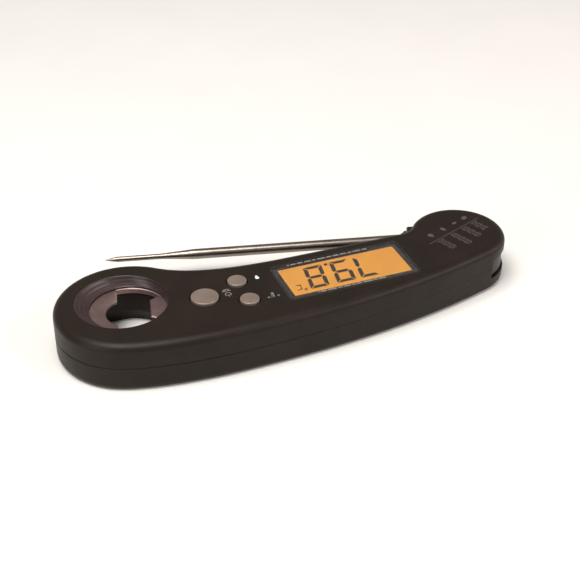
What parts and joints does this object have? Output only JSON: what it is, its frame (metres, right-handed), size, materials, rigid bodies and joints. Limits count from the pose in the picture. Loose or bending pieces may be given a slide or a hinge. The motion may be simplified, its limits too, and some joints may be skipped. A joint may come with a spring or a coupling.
{
  "type": "folding digital meat thermometer",
  "caption": "Folding digital meat thermometer with a curved dark handle, amber display, round keys, a bottle opener ring and a swing-out steel probe.",
  "frame": {"origin": "on the probe's pivot axis, at the flat back face of the handle", "axes": "+X along the display towards the opener ring, +Y across the handle away from the folded probe, +Z out of the display face"},
  "size_m": [0.1683, 0.0719, 0.0187],
  "materials": {
    "shell_plastic": "fine satin grain, warm black",
    "hub_plastic": "satin, warm black",
    "opener_steel": "dark tinted steel, satin",
    "key_plastic": "satin silver grey",
    "window_plastic": "clear, polished",
    "lcd_glass": "backlit amber",
    "guide_plastic": "clear amber",
    "frame_plastic": "moulded white",
    "seal_rubber": "matt",
    "membrane_rubber": "matt",
    "board_laminate": "solder-masked laminate",
    "chip_plastic": "matt moulded",
    "led_plastic": "clear lens",
    "stainless": "brushed along its length",
    "fastener_steel": "zinc plated",
    "magnet_nickel": "nickel plated",
    "contact_brass": "bright",
    "lead_rubber": "silicone insulation"
  },
  "bodies": {
    "handle": {"front_shell": "shell_plastic", "back_shell": "shell_plastic", "case_gasket": "seal_rubber", "opener_plate": "opener_steel", "display_window": "window_plastic", "lcd_panel": "lcd_glass", "lcd_frame": "frame_plastic", "light_guide": "guide_plastic", "zebra_strip_lower": "seal_rubber", "zebra_strip_upper": "seal_rubber", "main_board": "board_laminate", "controller_chip": "chip_plastic", "backlight_led_1": "led_plastic", "backlight_led_2": "led_plastic", "wake_switch": "led_plastic", "key_membrane": "membrane_rubber", "power_switch": "fastener_steel", "unit_switch": "fastener_steel", "light_switch": "fastener_steel", "coin_cell": "stainless", "battery_holder": "chip_plastic", "positive_contact": "contact_brass", "negative_contact": "contact_brass", "magnet_1": "magnet_nickel", "magnet_2": "magnet_nickel", "pivot_pin": "stainless", "hinge_lead": "lead_rubber", "case_screw_1": "fastener_steel", "case_screw_2": "fastener_steel", "case_screw_3": "fastener_steel", "case_screw_4": "fastener_steel", "case_screw_5": "fastener_steel", "case_screw_6": "fastener_steel", "board_screw_1": "fastener_steel", "board_screw_2": "fastener_steel", "board_screw_3": "fastener_steel"},
    "probe": {"probe_hub": "hub_plastic", "probe_tube": "stainless", "probe_seal": "seal_rubber", "thermistor": "chip_plastic", "sensor_lead": "lead_rubber", "wake_magnet": "magnet_nickel", "thrust_washer_back": "contact_brass", "thrust_washer_front": "contact_brass", "hub_seal_back": "seal_rubber", "hub_seal_front": "seal_rubber"},
    "power_key": {"power_key": "key_plastic"},
    "unit_key": {"unit_key": "key_plastic"},
    "light_key": {"light_key": "key_plastic"},
    "battery_door": {"battery_door": "shell_plastic", "door_seal": "seal_rubber"}
  },
  "joints": [
    {"name": "probe_fold", "type": "hinge", "parent": "handle", "child": "probe", "pos_m": [0, 0, 0.009], "axis": [0, 0, 1], "range_deg": [-169.6, 10.4]},
    {"name": "power_press", "type": "slide", "parent": "handle", "child": "power_key", "axis": [0, 0, -1], "range_m": [0, 0.0006], "stiffness_N_per_m": 1000},
    {"name": "unit_press", "type": "slide", "parent": "handle", "child": "unit_key", "axis": [0, 0, -1], "range_m": [0, 0.0006], "stiffness_N_per_m": 1000},
    {"name": "light_press", "type": "slide", "parent": "handle", "child": "light_key", "axis": [0, 0, -1], "range_m": [0, 0.0006], "stiffness_N_per_m": 1000},
    {"name": "battery_door_turn", "type": "hinge", "parent": "handle", "child": "battery_door", "pos_m": [0.056, 0.0103, 0.0014], "axis": [0, 0, 1], "range_deg": [-30, 0]}
  ]
}
